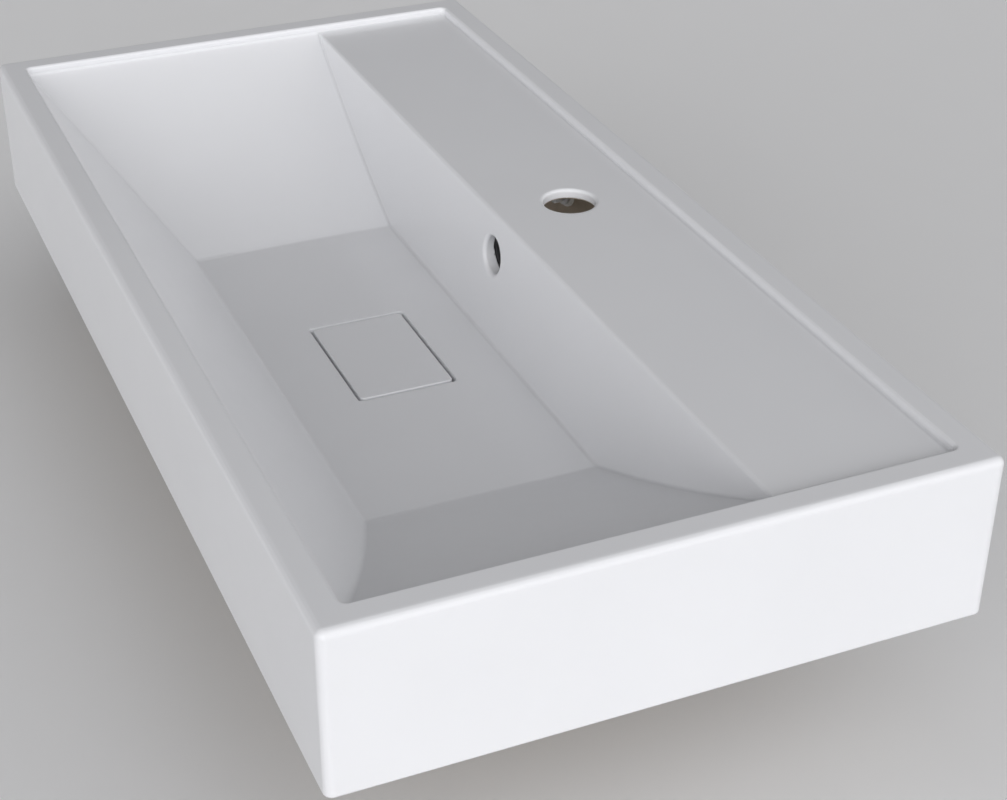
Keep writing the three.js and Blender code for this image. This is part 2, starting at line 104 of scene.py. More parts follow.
# ---- Rounded solids as signed distances, negative inside ----
def round_max(a, b, r):
    """What a and b share, with its edge rounded to radius r."""
    corner = np.hypot(np.maximum(r + a, 0), np.maximum(r + b, 0))
    return np.minimum(-r, np.maximum(a, b)) + corner


def round_min(a, b, r):
    """a and b joined, with a fillet of radius r."""
    corner = np.hypot(np.maximum(r - a, 0), np.maximum(r - b, 0))
    return np.maximum(r, np.minimum(a, b)) - corner


def rectangle(x, y, half_x, half_y, r):
    qx, qy = np.abs(x) - half_x + r, np.abs(y) - half_y + r
    outside = np.hypot(np.maximum(qx, 0), np.maximum(qy, 0))
    return outside + np.minimum(np.maximum(qx, qy), 0) - r


def line(a, b, a0, b0, a1, b1):
    """Distance from the line through (a0, b0) and (a1, b1), negative on its left."""
    length = math.hypot(a1 - a0, b1 - b0)
    return ((b1 - b0) * (a - a0) - (a1 - a0) * (b - b0)) / length


def smoothstep(low, high, value):
    t = np.clip((value - low) / (high - low), 0, 1)
    return t * t * (3 - 2 * t)


INNER_HALF, INNER_FRONT = LENGTH / 2 - RIM, RIM - DEPTH
RUN, RISE = INNER_HALF - FLOOR_HALF, DECK_Z - FLOOR_Z
CHORD = math.hypot(RUN, RISE)
END_RADIUS = CHORD**2 / (8 * END_SAG) + END_SAG / 2
END_X = FLOOR_HALF + RUN / 2 - (END_RADIUS - END_SAG) * RISE / CHORD
END_Z = FLOOR_Z + RISE / 2 + (END_RADIUS - END_SAG) * RUN / CHORD
OVERFLOW_MOUTH = FLOOR_BACK + (OVERFLOW_Z - FLOOR_Z) / RISE * (DECK_FRONT - FLOOR_BACK)


def bowl(x, y, z):
    """The bowl's hollow: two arched end walls, a sloping front, a steep back and a flat floor."""
    ends = np.hypot(np.abs(x) - END_X, z - END_Z) - END_RADIUS
    front = line(y, z, INNER_FRONT, DECK_Z, FLOOR_FRONT, FLOOR_Z)
    back = line(y, z, FLOOR_BACK, FLOOR_Z, DECK_FRONT, DECK_Z)
    floor_side = FLOOR_Z - z
    creases = ((ends, floor_side, 0.9), (front, floor_side, 1.5), (back, floor_side, 2.2),
               (ends, front, 1.4), (ends, back, 1.4))
    return functools.reduce(np.maximum, [round_max(*crease) for crease in creases])


def skirt_side(x, y):
    """Distance inside the skirt's inner faces, negative in the hollow."""
    return rectangle(x, y + DEPTH / 2, LENGTH / 2 - SKIRT, DEPTH / 2 - SKIRT, SKIRT_CORNER)


def hollow_side(x, y, z, inside):
    """The hollow under the basin, given the distance from the bowl's surface."""
    under_deck = round_max(skirt_side(x, y), z - DECK_Z + DECK_THICKNESS, EDGE)
    return round_max(under_deck, WALL - inside, HOLLOW_FILLET)


def basin(x, y, z):
    across = y + DEPTH / 2
    block = round_max(rectangle(x, across, LENGTH / 2, DEPTH / 2, CORNER), z - HEIGHT, EDGE)
    block = round_max(block, -z, FOOT_EDGE)
    inside = bowl(x, y, z)
    # underside: an open box round the bowl, with cast fillets, a drain boss and an overflow pad
    solid = round_max(block, -hollow_side(x, y, z, inside), CAST_EDGE)
    boss = rectangle(x, y - DRAIN_Y, POCKET_LENGTH / 2 + WALL, POCKET_WIDTH / 2 + WALL, BOSS_CORNER)
    boss = round_max(boss, BOSS_BOTTOM - z, CAST_EDGE)
    solid = round_min(solid, np.maximum(boss, z - FLOOR_Z + 4), 3.0)
    pad = round_max(np.maximum(np.abs(x) - PAD_HALF, PAD_LOW - z), y - PAD_BACK, 1.5)
    pad = np.maximum(pad, np.maximum(DECK_FRONT - 6 - y, z - DECK_Z + 3))
    solid = np.minimum(solid, pad)
    # top: a recess inside the rim, with the deck as its floor, open to the bowl
    recess = rectangle(x, across, INNER_HALF, DEPTH / 2 - RIM, RECESS_CORNER)
    ledge = 0.05 + 2.4 * smoothstep(0, 14, INNER_HALF - np.abs(x))
    opened = round_min(DECK_Z - z, inside, np.where(y > 1.2 * DECK_FRONT, ledge, 0.05))
    solid = round_max(solid, -round_max(recess, opened, RECESS_FOOT), RIM_EDGE)
    pocket = rectangle(x, y - DRAIN_Y, POCKET_LENGTH / 2, POCKET_WIDTH / 2, POCKET_CORNER)
    solid = round_max(solid, -round_max(pocket, POCKET_FLOOR - z, POCKET_FOOT), POCKET_EDGE)
    solid = round_max(solid, WASTE_HOLE - np.hypot(x, y - DRAIN_Y), 0.8)
    solid = round_max(solid, TAP_RADIUS - np.hypot(x, y - TAP_Y), TAP_LIP)
    bore = np.hypot(x, z - OVERFLOW_Z)
    reach = np.abs(y - OVERFLOW_MOUTH) - OVERFLOW_REACH
    solid = round_max(solid, -np.maximum(bore - OVERFLOW_RADIUS, reach), OVERFLOW_LIP)
    seat = np.maximum(bore - COLLAR - CLEAR, OVERFLOW_MOUTH + OVERFLOW_DEPTH - y)
    solid = np.maximum(solid, -np.maximum(seat, reach))
    fixing = np.hypot(np.abs(x) - FIXING_X, z - FIXING_Z) - FIXING_RADIUS
    return round_max(solid, -np.maximum(fixing, -FIXING_DEPTH - y), 1.0)


def gradient(distance, points, h=0.02):
    x, y, z = points.T
    return np.stack([
        distance(x + h, y, z) - distance(x - h, y, z),
        distance(x, y + h, z) - distance(x, y - h, z),
        distance(x, y, z + h) - distance(x, y, z - h),
    ], 1) / (2 * h)


def bands(*stops):
    """Grid lines between (place, step) stops: each step holds up to the next stop's place."""
    lines = []
    for (low, step), (high, _) in zip(stops, stops[1:]):
        lines.append(np.linspace(low, high, max(1, round((high - low) / step)), endpoint=False))
    return np.append(np.concatenate(lines), stops[-1][0])


def mirrored(lines):
    return np.concatenate([-lines[:0:-1], lines])


FARTHEST = 1.0  # how far a vertex may move onto the surface


def stepped(value, stops, places):
    """The place for a value, in straight steps between stops; places may be arrays."""
    result = places[0]
    for i in range(len(stops) - 1):
        share = np.clip((value - stops[i]) / (stops[i + 1] - stops[i]), 0, 1)
        result = result + (places[i + 1] - places[i]) * share
    return result


def straight(x, y, z):
    return x, y, z


def round_the_bowl(x, y, z):
    """Bends a grid so that its lines run along the bowl's creases."""
    up = np.clip(z, FLOOR_Z, DECK_Z - 4)
    end = END_X + np.sqrt(END_RADIUS**2 - (up - END_Z) ** 2)
    front = FLOOR_FRONT + (up - FLOOR_Z) / RISE * (INNER_FRONT - FLOOR_FRONT)
    back = FLOOR_BACK + (up - FLOOR_Z) / RISE * (DECK_FRONT - FLOOR_BACK)
    stops = (0, 150, FLOOR_HALF, 384, 500)
    bent_x = np.sign(x) * stepped(np.abs(x), stops, (0, 150, end, 384, 500))
    stops = (-500, -384, FLOOR_FRONT, -270, -170, FLOOR_BACK, -120, 100)
    bent_y = stepped(y, stops, (-500, -384, front, -270, -170, back, -120, 100))
    return bent_x, bent_y, z


def polygonise(distance, xs, ys, zs, bend=straight):
    """Vertices and quads of the surface distance == 0, one vertex for each grid cell it crosses."""
    lines = (xs, ys, zs)
    across, up = np.meshgrid(ys, zs, indexing="ij")
    values = np.stack([distance(*bend(x, across, up)) for x in xs])
    cells = tuple(n - 1 for n in values.shape)
    total, count, faces = np.zeros((math.prod(cells), 3)), np.zeros(math.prod(cells)), []
    for axis in range(3):
        a, b = [other for other in range(3) if other != axis]
        inside = np.moveaxis(values < 0, axis, 0)
        cross = inside[:-1] != inside[1:]
        cross[:, [0, -1], :] = cross[:, :, [0, -1]] = False
        at = np.argwhere(cross)[:, np.argsort([axis, a, b])]
        ahead = at + np.eye(3, dtype=int)[axis]
        v0, v1 = values[tuple(at.T)], values[tuple(ahead.T)]
        here, there = [
            np.stack(bend(*[lines[k][corner[:, k]] for k in range(3)]), 1) for corner in (at, ahead)
        ]
        point = here + (there - here) * (v0 / (v0 - v1))[:, None]
        quad = []
        for step_a, step_b in ((0, 0), (1, 0), (1, 1), (0, 1)):
            cell = at.copy()
            cell[:, a] -= step_a
            cell[:, b] -= step_b
            flat = np.ravel_multi_index(tuple(cell.T), cells)
            count += np.bincount(flat, minlength=len(count))
            for k in range(3):
                total[:, k] += np.bincount(flat, point[:, k], len(count))
            quad.append(flat)
        quad = np.stack(quad, 1)
        flip = (v0 < 0) == (axis == 1)
        quad[flip] = quad[flip, ::-1]
        faces.append(quad)
    used, faces = np.unique(np.concatenate(faces), return_inverse=True)
    start = points = total[used] / count[used, None]
    for _ in range(5):
        slope = gradient(distance, points)
        steep = np.maximum((slope**2).sum(1), 0.2)
        points = points - slope * (distance(*points.T) / steep)[:, None]
        points = np.clip(points, start - FARTHEST, start + FARTHEST)
    return points, faces.reshape(-1, 4)


# ---- Meshes into pieces ----
LARGE_FACE = 25e-6  # square metres
LEAST_TURN, MOST_TURN = 0.99996, 0.6  # cosines of how far a large face's rim may be turned from it


def solid(name, points, faces):
    """An object from basin millimetres, with its faces turned outwards and its creases sharp."""
    mesh = bpy.data.meshes.new(name)
    mesh.from_pydata(place(points).tolist(), [], [tuple(map(int, face)) for face in faces])
    made = bmesh.new()
    made.from_mesh(mesh)
    bmesh.ops.recalc_face_normals(made, faces=made.faces)
    made.to_mesh(mesh)
    made.free()
    mesh.shade_smooth()
    mesh.set_sharp_from_angle(angle=math.radians(42))
    obj = bpy.data.objects.new(name, mesh)
    bpy.context.scene.collection.objects.link(obj)
    weighted = obj.modifiers.new("weighted normals", "WEIGHTED_NORMAL")
    weighted.keep_sharp = True
    return obj


def read(items, field, width, kind=float):
    """One field of a mesh's vertices, faces or corners as an array."""
    values = np.empty(len(items) * width, kind)
    items.foreach_get(field, values)
    return values.reshape(-1, width) if width > 1 else values


def kept_flat(mesh, slopes):
    """The vertex normals, with those at the rim of a large flat face lined up with it, so that
    the shading of a rounded edge doesn't spread over the flat."""
    areas, normals = read(mesh.polygons, "area", 1), read(mesh.polygons, "normal", 3)
    corners = read(mesh.loops, "vertex_index", 1, np.int32)
    faces = np.repeat(np.arange(len(areas)), read(mesh.polygons, "loop_total", 1, np.int32))
    order = np.argsort(areas[faces], kind="stable")
    largest = np.zeros(len(slopes), int)
    largest[corners[order]] = faces[order]  # the last write, from the largest face, stays
    flat = normals[largest]
    turn = (flat * slopes).sum(1)
    edge = (areas[largest] > LARGE_FACE) & (turn > MOST_TURN) & (turn < LEAST_TURN)
    return np.where(edge[:, None], flat, slopes)


def carved(name, distance, xs, ys, zs, bend=straight):
    """An object whose surface is distance == 0, with the distance's own slope as its normals and
    its flat faces merged."""
    points, faces = polygonise(distance, xs, ys, zs, bend)
    obj = solid(name, points, faces)
    obj.modifiers.clear()
    thin = obj.modifiers.new("merge flat faces", "DECIMATE")
    thin.decimate_type = "DISSOLVE"
    thin.angle_limit = math.radians(0.03)
    evaluated = obj.evaluated_get(bpy.context.evaluated_depsgraph_get())
    mesh = bpy.data.meshes.new_from_object(evaluated)
    obj.modifiers.clear()
    obj.data = mesh
    slopes = gradient(distance, read(mesh.vertices, "co", 3) / MM - (0, 0, SKIRT_Z))
    slopes /= np.maximum(np.linalg.norm(slopes, axis=1), 1e-6)[:, None]
    mesh.set_sharp_from_angle(angle=math.pi)
    mesh.normals_split_custom_set_from_vertices(kept_flat(mesh, slopes).tolist())
    return obj


def softened(outline, soft):
    """The closed outline with each corner off the axis rounded."""
    points = []
    for i, here in enumerate(outline):
        here = np.array(here, float)
        if here[0] < 1e-6:
            points.append(here)
            continue
        sides = np.array([outline[i - 1], outline[(i + 1) % len(outline)]], float) - here
        lengths = np.linalg.norm(sides, axis=1)
        cut = sides * (np.minimum(soft, 0.42 * lengths) / lengths)[:, None]
        points += [here + cut[0] * (1 - t) ** 2 + cut[1] * t**2 for t in (0, 0.3, 0.7, 1)]
    return points


def divided(outline, step):
    """The outline with points at most a step apart along it."""
    points = []
    for a, b in zip(outline, outline[1:] + outline[:1]):
        pieces = max(1, math.ceil(np.linalg.norm(b - a) / step))
        if a[0] < 1e-6 and b[0] < 1e-6:
            pieces = 1
        points += [a + (b - a) * i / pieces for i in range(pieces)]
    return points


AXES = {
    "up": np.array(((1, 0, 0), (0, 1, 0), (0, 0, 1))),
    "back": np.array(((1, 0, 0), (0, 0, 1), (0, -1, 0))),  # heights run towards the wall
    "front": np.array(((1, 0, 0), (0, 0, -1), (0, 1, 0))),  # heights run away from the wall
}


def turned(name, outline, at, axis="up", steps=64, soft=0.4, step=1e9, shape=None):
    """A solid of revolution from [radius, height] pairs; shape may move its points."""
    turns = 2 * math.pi * np.arange(steps) / steps
    points, rows, faces = [], [], []
    for radius, height in divided(softened(outline, soft), step):
        if radius < 1e-6:
            rows.append([len(points)] * steps)
            points.append((0, 0, height))
        else:
            rows.append(range(len(points), len(points) + steps))
            points += [(radius * math.cos(a), radius * math.sin(a), height) for a in turns]
    for low, high in zip(rows, rows[1:] + rows[:1]):
        for i in range(steps):
            face = tuple(dict.fromkeys((low[i - 1], low[i], high[i], high[i - 1])))
            if len(face) > 2:
                faces.append(face)
    points = np.array(points, float)
    if shape:
        points = shape(points)
    return solid(name, points @ AXES[axis].T + at, faces)


def reshaped(low, high, least, change):
    """A shape that changes radii over a least one, between two heights, by change(r, turn, h)."""

    def shape(points):
        radius = np.hypot(points[:, 0], points[:, 1])
        turn = np.arctan2(points[:, 1], points[:, 0])
        height = points[:, 2]
        on = (radius > least) & (height > low) & (height < high)
        wanted = np.where(on, change(radius, turn, height), radius)
        points[:, :2] *= (wanted / np.maximum(radius, 1e-6))[:, None]
        return points

    return shape


def thread(low, high, least, pitch, depth, crest=1.0):
    """A helical groove that runs out at both ends; a larger crest makes thinner ridges."""

    def change(radius, turn, height):
        wave = 0.5 + 0.5 * np.cos(2 * math.pi * height / pitch - turn)
        ends = np.clip(np.minimum(height - low, high - height) / (0.6 * pitch), 0, 1)
        return radius - depth * ends * (1 - wave**crest)

    return reshaped(low, high, least, change)


def hexed(low, high, least, flats):
    def change(radius, turn, height):
        return np.minimum(radius, flats / 2 / np.cos(turn % (math.pi / 3) - math.pi / 6))

    return reshaped(low, high, least, change)


def ribbed(low, high, least, count, depth):
    def change(radius, turn, height):
        ends = np.clip(np.minimum(height - low, high - height) / 1.5, 0, 1)
        return radius - depth * ends * (0.5 - 0.5 * np.cos(count * turn)) ** 0.6

    return reshaped(low, high, least, change)


def barbed(points):
    """The wall anchor's saw-tooth barbs and its two long slots."""

    def change(radius, turn, height):
        slot = np.exp(-((np.abs(np.sin(turn)) - 1) / 0.03) ** 2)
        return radius - 0.7 * (height / 5 % 1) - 0.9 * slot

    return reshaped(4, 51, 6.5, change)(points)


def cross_recess(points):
    """The cross in a screw's head."""
    x, y, height = np.abs(points[:, 0]), np.abs(points[:, 1]), points[:, 2]
    arm = np.minimum(x, y)
    deep = smoothstep(0.75, 0.45, arm) * smoothstep(2.5, 1.7, np.maximum(x, y))
    points[:, 2] -= np.where(height > height.max() - 0.05, 1.5 * deep, 0)
    return points


# ---- Basin ----
def unglazed(x, y, z):
    """Is a point on the basin's raw body: the hollow underneath or the foot of the skirt?"""
    under = hollow_side(x, y, z, bowl(x, y, z)) < 1.5
    pocket = rectangle(x, y - DRAIN_Y, POCKET_LENGTH / 2 + 2, POCKET_WIDTH / 2 + 2, POCKET_CORNER)
    in_pocket = (pocket < 0) & (z > POCKET_FLOOR - 2)
    in_overflow = (np.hypot(x, z - OVERFLOW_Z) < COLLAR) & (y < OVERFLOW_MOUTH + OVERFLOW_DEPTH + 1)
    return (under & ~in_pocket & ~in_overflow) | ((z < 0.25) & (skirt_side(x, y) > -4))


def make_basin():
    """The washbasin on a grid that is fine at its edges and creases and coarse on its flats."""
    tight, fine, coarse = 0.74, 1.5, 5.0
    xs = mirrored(bands(
        (0, fine), (22, 2), (30, fine), (38, 4), (50, tight), (56, fine), (66, 8), (128, 2),
        (152, coarse), (185, tight), (191, 6), (374, 0.9), (384, 1.4), (394, 0.8), (401.5, 1)))
    ys = bands(
        (-401.5, 0.8), (-394, 1.4), (-384, 0.9), (-374, coarse), (-305, tight), (-298.5, coarse),
        (-268, fine), (-259, tight), (-253, coarse), (-190, tight), (-182, fine), (-174, 4),
        (-148, 0.8), (-136, fine), (-118, 4), (-101, 1.4), (-55, coarse), (-26, 0.9), (-16, 1.4),
        (-6, 0.8), (1.5, 1))
    zs = bands(
        (-22.5, 0.8), (-18, 4), (-14, tight), (-10, 4), (-2, tight), (3, 2), (7.5, tight), (12, 4),
        (28, 2), (48, 3), (54, 2), (88, fine), (91, 0.8), (108.5, 1))
    basin_body = carved("washbasin", basin, xs, ys, zs, round_the_bowl)
    mesh = basin_body.data
    raw = unglazed(*(read(mesh.polygons, "center", 3) / MM - (0, 0, SKIRT_Z)).T)
    mesh.polygons.foreach_set("material_index", raw.astype(np.int32))
    return basin_body


# ---- Cover, waste and overflow ----
PLUG_Z = POCKET_FLOOR + 6.4
TUBE_OUTER, TUBE_INNER, TUBE_LOW = 20.75, 18.0, -100.0
SLEEVE = TUBE_OUTER + 0.5
HUB_Z, HUB_HEIGHT, BARREL = -36.0, 4.0, 6.0
PORT_Z, PORT_OUTER, PORT_INNER, PORT_END = -72.0, 10.0, 8.0, -176.0
PIPE_RADIUS, PIPE_BORE, PIPE_Y, PIPE_BEND = 7.5, 6.0, -109.5, 28.0
GASKET_BACK, ELBOW_BACK, SPIGOT_LOW = -120.0, -100.0, 40.0
COLLAR_FRONT = OVERFLOW_MOUTH + OVERFLOW_DEPTH + CLEAR
TUBE_PITCH, TUBE_THREAD_DEPTH, TUBE_THREAD_TOP = 2.31, 1.1, -33.0
FLANGE_RADIUS, HUB_RADIUS, ARM_HALF = 31.0, 9.0, 1.5
ELBOW_HALF_X, ELBOW_HALF_Z, CUP_OUTER, CUP_INNER = 31.0, 20.0, 15.0, 12.0
COVER_GAP, COVER_HALF, COVER_EDGE = 2.0, 3.0, 0.9  # the gap round it, half its thickness, its edge
RIB_PITCH, RIB_DEPTH, PLAIN_END = 4.2, 0.9, 20.0  # the overflow pipe's ribs and its smooth ends
SCREW_X, SCREW_HOLE = 25.0, 2.5


def cover(x, y, z):
    """The loose drain cover, level with the bowl's floor."""
    half_x, half_y = POCKET_LENGTH / 2 - COVER_GAP, POCKET_WIDTH / 2 - COVER_GAP
    plate = rectangle(x, y - DRAIN_Y, half_x, half_y, POCKET_CORNER)
    return round_max(plate, np.abs(z - FLOOR_Z + COVER_HALF) - COVER_HALF, COVER_EDGE)


def waste(x, y, z):
    """The flanged tube with its thread, the clicker's hub on three arms and the overflow's port."""
    y = y - DRAIN_Y
    radius = np.hypot(x, y)
    groove = 0.5 + 0.5 * np.cos(2 * math.pi * z / TUBE_PITCH - np.arctan2(y, x))
    ends = np.clip(np.minimum(z - TUBE_LOW - 1, TUBE_THREAD_TOP - z) / 1.5, 0, 1)
    near_port = np.clip((np.hypot(x, z - PORT_Z) - PORT_OUTER - 1.5) / 2, 0, 1)
    ends = np.where(y > 0, ends * near_port, ends)
    cut = TUBE_THREAD_DEPTH * ends * (1 - groove)
    tube = round_max(radius - TUBE_OUTER + cut, TUBE_LOW - z, 0.6)
    tube = np.maximum(tube, z - POCKET_FLOOR - 3)
    flange = round_max(radius - FLANGE_RADIUS, np.abs(z - POCKET_FLOOR - 3) - 1, 0.5)
    across = np.hypot(x, z - PORT_Z)
    port = round_max(across - PORT_OUTER, y - PORT_END + DRAIN_Y, 0.8)
    port = np.maximum(port, TUBE_INNER + 1 - y)
    body = round_min(np.minimum(tube, flange), port, 1.5)
    body = round_max(body, TUBE_INNER - radius, 0.8)
    body = np.maximum(body, -np.maximum(across - PORT_INNER, 5 - y))
    arms = np.full(np.shape(body), 1e9)
    for angle in (-90, 30, 150):
        c, s = math.cos(math.radians(angle)), math.sin(math.radians(angle))
        arm = np.maximum(np.abs(y * c - x * s) - ARM_HALF, 7.5 - x * c - y * s)
        arms = np.minimum(arms, np.maximum(arm, radius - TUBE_INNER - 0.5))
    level = np.abs(z - HUB_Z - HUB_HEIGHT / 2) - HUB_HEIGHT / 2
    hub = round_max(np.minimum(arms, radius - HUB_RADIUS), level, 0.4)
    return np.minimum(body, np.maximum(hub, BARREL + CLEAR - radius))


def elbow(x, y, z):
    """The overflow elbow: a screwed flange with ribs, a collar in the basin, a cup and a spigot."""
    up = z - OVERFLOW_Z
    axis = np.hypot(x, up)
    flange = rectangle(x, up, ELBOW_HALF_X, ELBOW_HALF_Z, 8)
    flange = round_max(flange, np.abs(y - GASKET_BACK - 1.5) - 1.5, 0.8)
    collar = round_max(axis - COLLAR, COLLAR_FRONT - y, 0.6)
    collar = np.maximum(collar, y - GASKET_BACK - 1)
    cup = round_max(axis - CUP_OUTER, y - ELBOW_BACK, 2.5)
    cup = np.maximum(cup, GASKET_BACK + 1 - y)
    down = np.hypot(x, y - PIPE_Y)
    spigot = np.maximum(down - PORT_OUTER, up)
    spigot = round_max(spigot, SPIGOT_LOW - z, 0.6)
    gusset = np.maximum(np.abs(up) - 1, np.abs(x) + 0.9 * (y - GASKET_BACK) - 24)
    gusset = np.maximum(gusset, np.maximum(GASKET_BACK + 1 - y, y - ELBOW_BACK + 3))
    body = round_min(round_min(cup, spigot, 2.0), round_min(flange, gusset, 0.8), 1.2)
    body = np.minimum(body, collar)
    body = np.maximum(body, -np.maximum(axis - CUP_INNER, y - ELBOW_BACK + 2.5))
    body = np.maximum(body, -np.maximum(down - PORT_INNER, up))
    return round_max(body, SCREW_HOLE - np.hypot(np.abs(x) - SCREW_X, up), 0.3)


def pipe():
    """The overflow pipe: straight down, round a bend and into the waste, with ribs it flexes by."""
    corner = PORT_Z + PIPE_BEND
    top, low_end = SPIGOT_LOW + 9, PORT_END - 9
    route = [np.array((PIPE_Y, top - (top - corner) * t)) for t in np.arange(0, 1, 1 / 93)]
    for t in np.arange(0, 1, 1 / 44):
        bend_y = PIPE_Y - PIPE_BEND * t**2
        route.append(np.array((bend_y, corner - PIPE_BEND * (1 - (1 - t) ** 2))))
    bend_end = PIPE_Y - PIPE_BEND
    for t in np.arange(0, 1.01, 1 / 48):
        route.append(np.array((bend_end + (low_end - bend_end) * t, PORT_Z)))
    route = np.array(route)
    along = np.gradient(route, axis=0)
    along /= np.linalg.norm(along, axis=1)[:, None]
    run = np.append(0, np.cumsum(np.linalg.norm(np.diff(route, axis=0), axis=1)))
    ribs_on = np.clip((np.minimum(run, run[-1] - run) - PLAIN_END) / 2, 0, 1)
    wave = RIB_DEPTH / 2 - RIB_DEPTH / 2 * np.cos(2 * math.pi * run / RIB_PITCH)
    wall = PIPE_RADIUS - ribs_on * wave
    steps = 40
    turns = 2 * math.pi * np.arange(steps) / steps
    rings = []
    inner = np.full(len(run), PIPE_BORE)
    for radii, order in ((wall, slice(None)), (inner, slice(None, None, -1))):
        for centre, ahead, radius in zip(route[order], along[order], radii[order]):
            side = radius * np.cos(turns)
            rings.append(np.stack([
                radius * np.sin(turns),
                centre[0] + side * ahead[1],
                centre[1] - side * ahead[0],
            ], 1))
    rows = np.arange(len(rings) * steps).reshape(-1, steps)
    faces = []
    for low, high in zip(rows, np.roll(rows, -1, 0)):
        faces += [(low[i - 1], low[i], high[i], high[i - 1]) for i in range(steps)]
    return solid("overflow_pipe_ribbed", np.concatenate(rings), faces)


drain = (0, DRAIN_Y, 0)
over = (0, 0, OVERFLOW_Z)
boss = BOSS_BOTTOM
lock = boss - 8.6


def ring(outer, inner, low, high):
    return [[inner, low], [outer, low], [outer, high], [inner, high]]


PIPE_NUT = [[PIPE_RADIUS + 0.4, -7], [13.5, -7], [14, -6.5], [14, 8], [13.2, 9],
            [PORT_OUTER + CLEAR, 9], [PORT_OUTER + CLEAR, -3.8], [PIPE_RADIUS + 0.4, -3.8]]
PIPE_SEAL = ring(PORT_OUTER, PIPE_RADIUS + CLEAR, -3.5, -CLEAR)
upper, lower = (0, PIPE_Y, SPIGOT_LOW), (0, PORT_END, PORT_Z)
disc_top = PLUG_Z + 3.4
carrier_low, carrier_top = disc_top + CLEAR, FLOOR_Z - 6.3
shoulder = HUB_Z + HUB_HEIGHT + CLEAR
knurl = ribbed(-6.2, 7.5, 13.2, 24, 0.7)

# node, slot, body, outline, place, axis, and how it is turned
TURNED = [
    ("cover_carrier", "grey_plastic", "cover",
     [[0, carrier_low], [23.4, carrier_low], [23.4, carrier_low - 2], [25.6, carrier_low - 2],
      [25.6, carrier_top - 1.2], [30, carrier_top - 1.2], [30, carrier_top], [0, carrier_top]],
     drain, "up",
     {"steps": 96, "shape": ribbed(carrier_low - 1.6, carrier_top - 1.4, 25, 48, 0.5)}),
    ("plug_disc", "chrome", "plug",
     [[0, PLUG_Z], [3.3, PLUG_Z], [3.3, PLUG_Z - 8], [7, PLUG_Z - 8], [7, PLUG_Z], [22, PLUG_Z],
      [23, PLUG_Z + 1], [23, disc_top - 0.8], [22.2, disc_top], [0, disc_top]],
     drain, "up", {"steps": 96, "soft": 0.7}),
    ("plug_seal", "rubber", "plug", ring(21.6, 17, POCKET_FLOOR + 4.3, PLUG_Z - CLEAR),
     drain, "up", {"steps": 80, "soft": 0.8}),
    ("clicker_pin", "brass", "plug",
     [[0, -42], [4.2, -42], [4.2, -39], [3, -39], [3, PLUG_Z - CLEAR], [0, PLUG_Z - CLEAR]],
     drain, "up",
     {"steps": 48, "step": 0.3, "shape": thread(PLUG_Z - 9, PLUG_Z - 0.6, 2.5, 0.8, 0.3)}),
    ("clicker_barrel", "brass", "root",
     [[0, -52], [BARREL, -52], [BARREL, shoulder], [8.5, shoulder], [8.5, shoulder + 3],
      [BARREL, shoulder + 3], [BARREL, -16], [3.5, -16], [3.5, -18], [4.6, -18], [4.6, -50],
      [0, -50]],
     drain, "up",
     {"steps": 60, "step": 0.3, "shape": thread(-51.5, shoulder - 0.2, 5.5, 1.0, 0.35)}),
    ("clicker_nut", "brass", "root",
     [[6.3, -41.3], [9.4, -41.3], [10.4, -40.6], [10.4, -37], [9.4, -36.3], [6.3, -36.3]],
     drain, "up", {"steps": 96, "soft": 0.3, "shape": hexed(-42, -36, 7.5, 18)}),
    ("waste_flange_gasket", "rubber", "root",
     ring(29.5, TUBE_OUTER + 0.8, POCKET_FLOOR + CLEAR, POCKET_FLOOR + 1.7),
     drain, "up", {"steps": 96, "soft": 0.5}),
    ("waste_lower_gasket", "rubber", "root",
     [[SLEEVE, boss - 6], [28, boss - 6], [33, boss - 2.5], [33, boss - CLEAR],
      [SLEEVE, boss - CLEAR]],
     drain, "up", {"steps": 96, "soft": 0.7}),
    ("waste_slip_washer", "white_plastic", "root", ring(31, SLEEVE, boss - 8.3, boss - 6.3),
     drain, "up", {"steps": 96, "soft": 0.5}),
    ("waste_lock_nut", "brass", "root",
     [[SLEEVE, lock - 12], [29.4, lock - 12], [32.3, lock - 10.6], [32.3, lock - 3.4],
      [31.5, lock - 3], [31.5, lock], [SLEEVE, lock]],
     drain, "up", {"steps": 120, "soft": 0.4, "shape": hexed(lock - 13, lock - 3.1, 23, 56)}),
    ("overflow_gasket", "rubber", "root",
     ring(19.5, COLLAR + 0.8, PAD_BACK + CLEAR, GASKET_BACK - CLEAR),
     over, "back", {"soft": 0.5}),
    ("overflow_nut_upper", "grey_plastic", "root", PIPE_NUT, upper, "up",
     {"steps": 144, "step": 1.2, "shape": knurl}),
    ("overflow_seal_upper", "rubber", "root", PIPE_SEAL, upper, "up", {"soft": 0.8}),
    ("overflow_nut_lower", "grey_plastic", "root", PIPE_NUT, lower, "front",
     {"steps": 144, "step": 1.2, "shape": knurl}),
    ("overflow_seal_lower", "rubber", "root", PIPE_SEAL, lower, "front", {"soft": 0.8}),
]
seat = GASKET_BACK + 3.3
SCREW = [[0, PAD_BACK - 5.5], [1.6, PAD_BACK - 5.5], [2, PAD_BACK - 4.5], [2, seat], [4, seat],
         [4, seat + 1.6], [3.2, seat + 2.6], [0, seat + 2.6]]
bush = -SKIRT - CLEAR
bore = 5 + CLEAR  # round a wall bolt
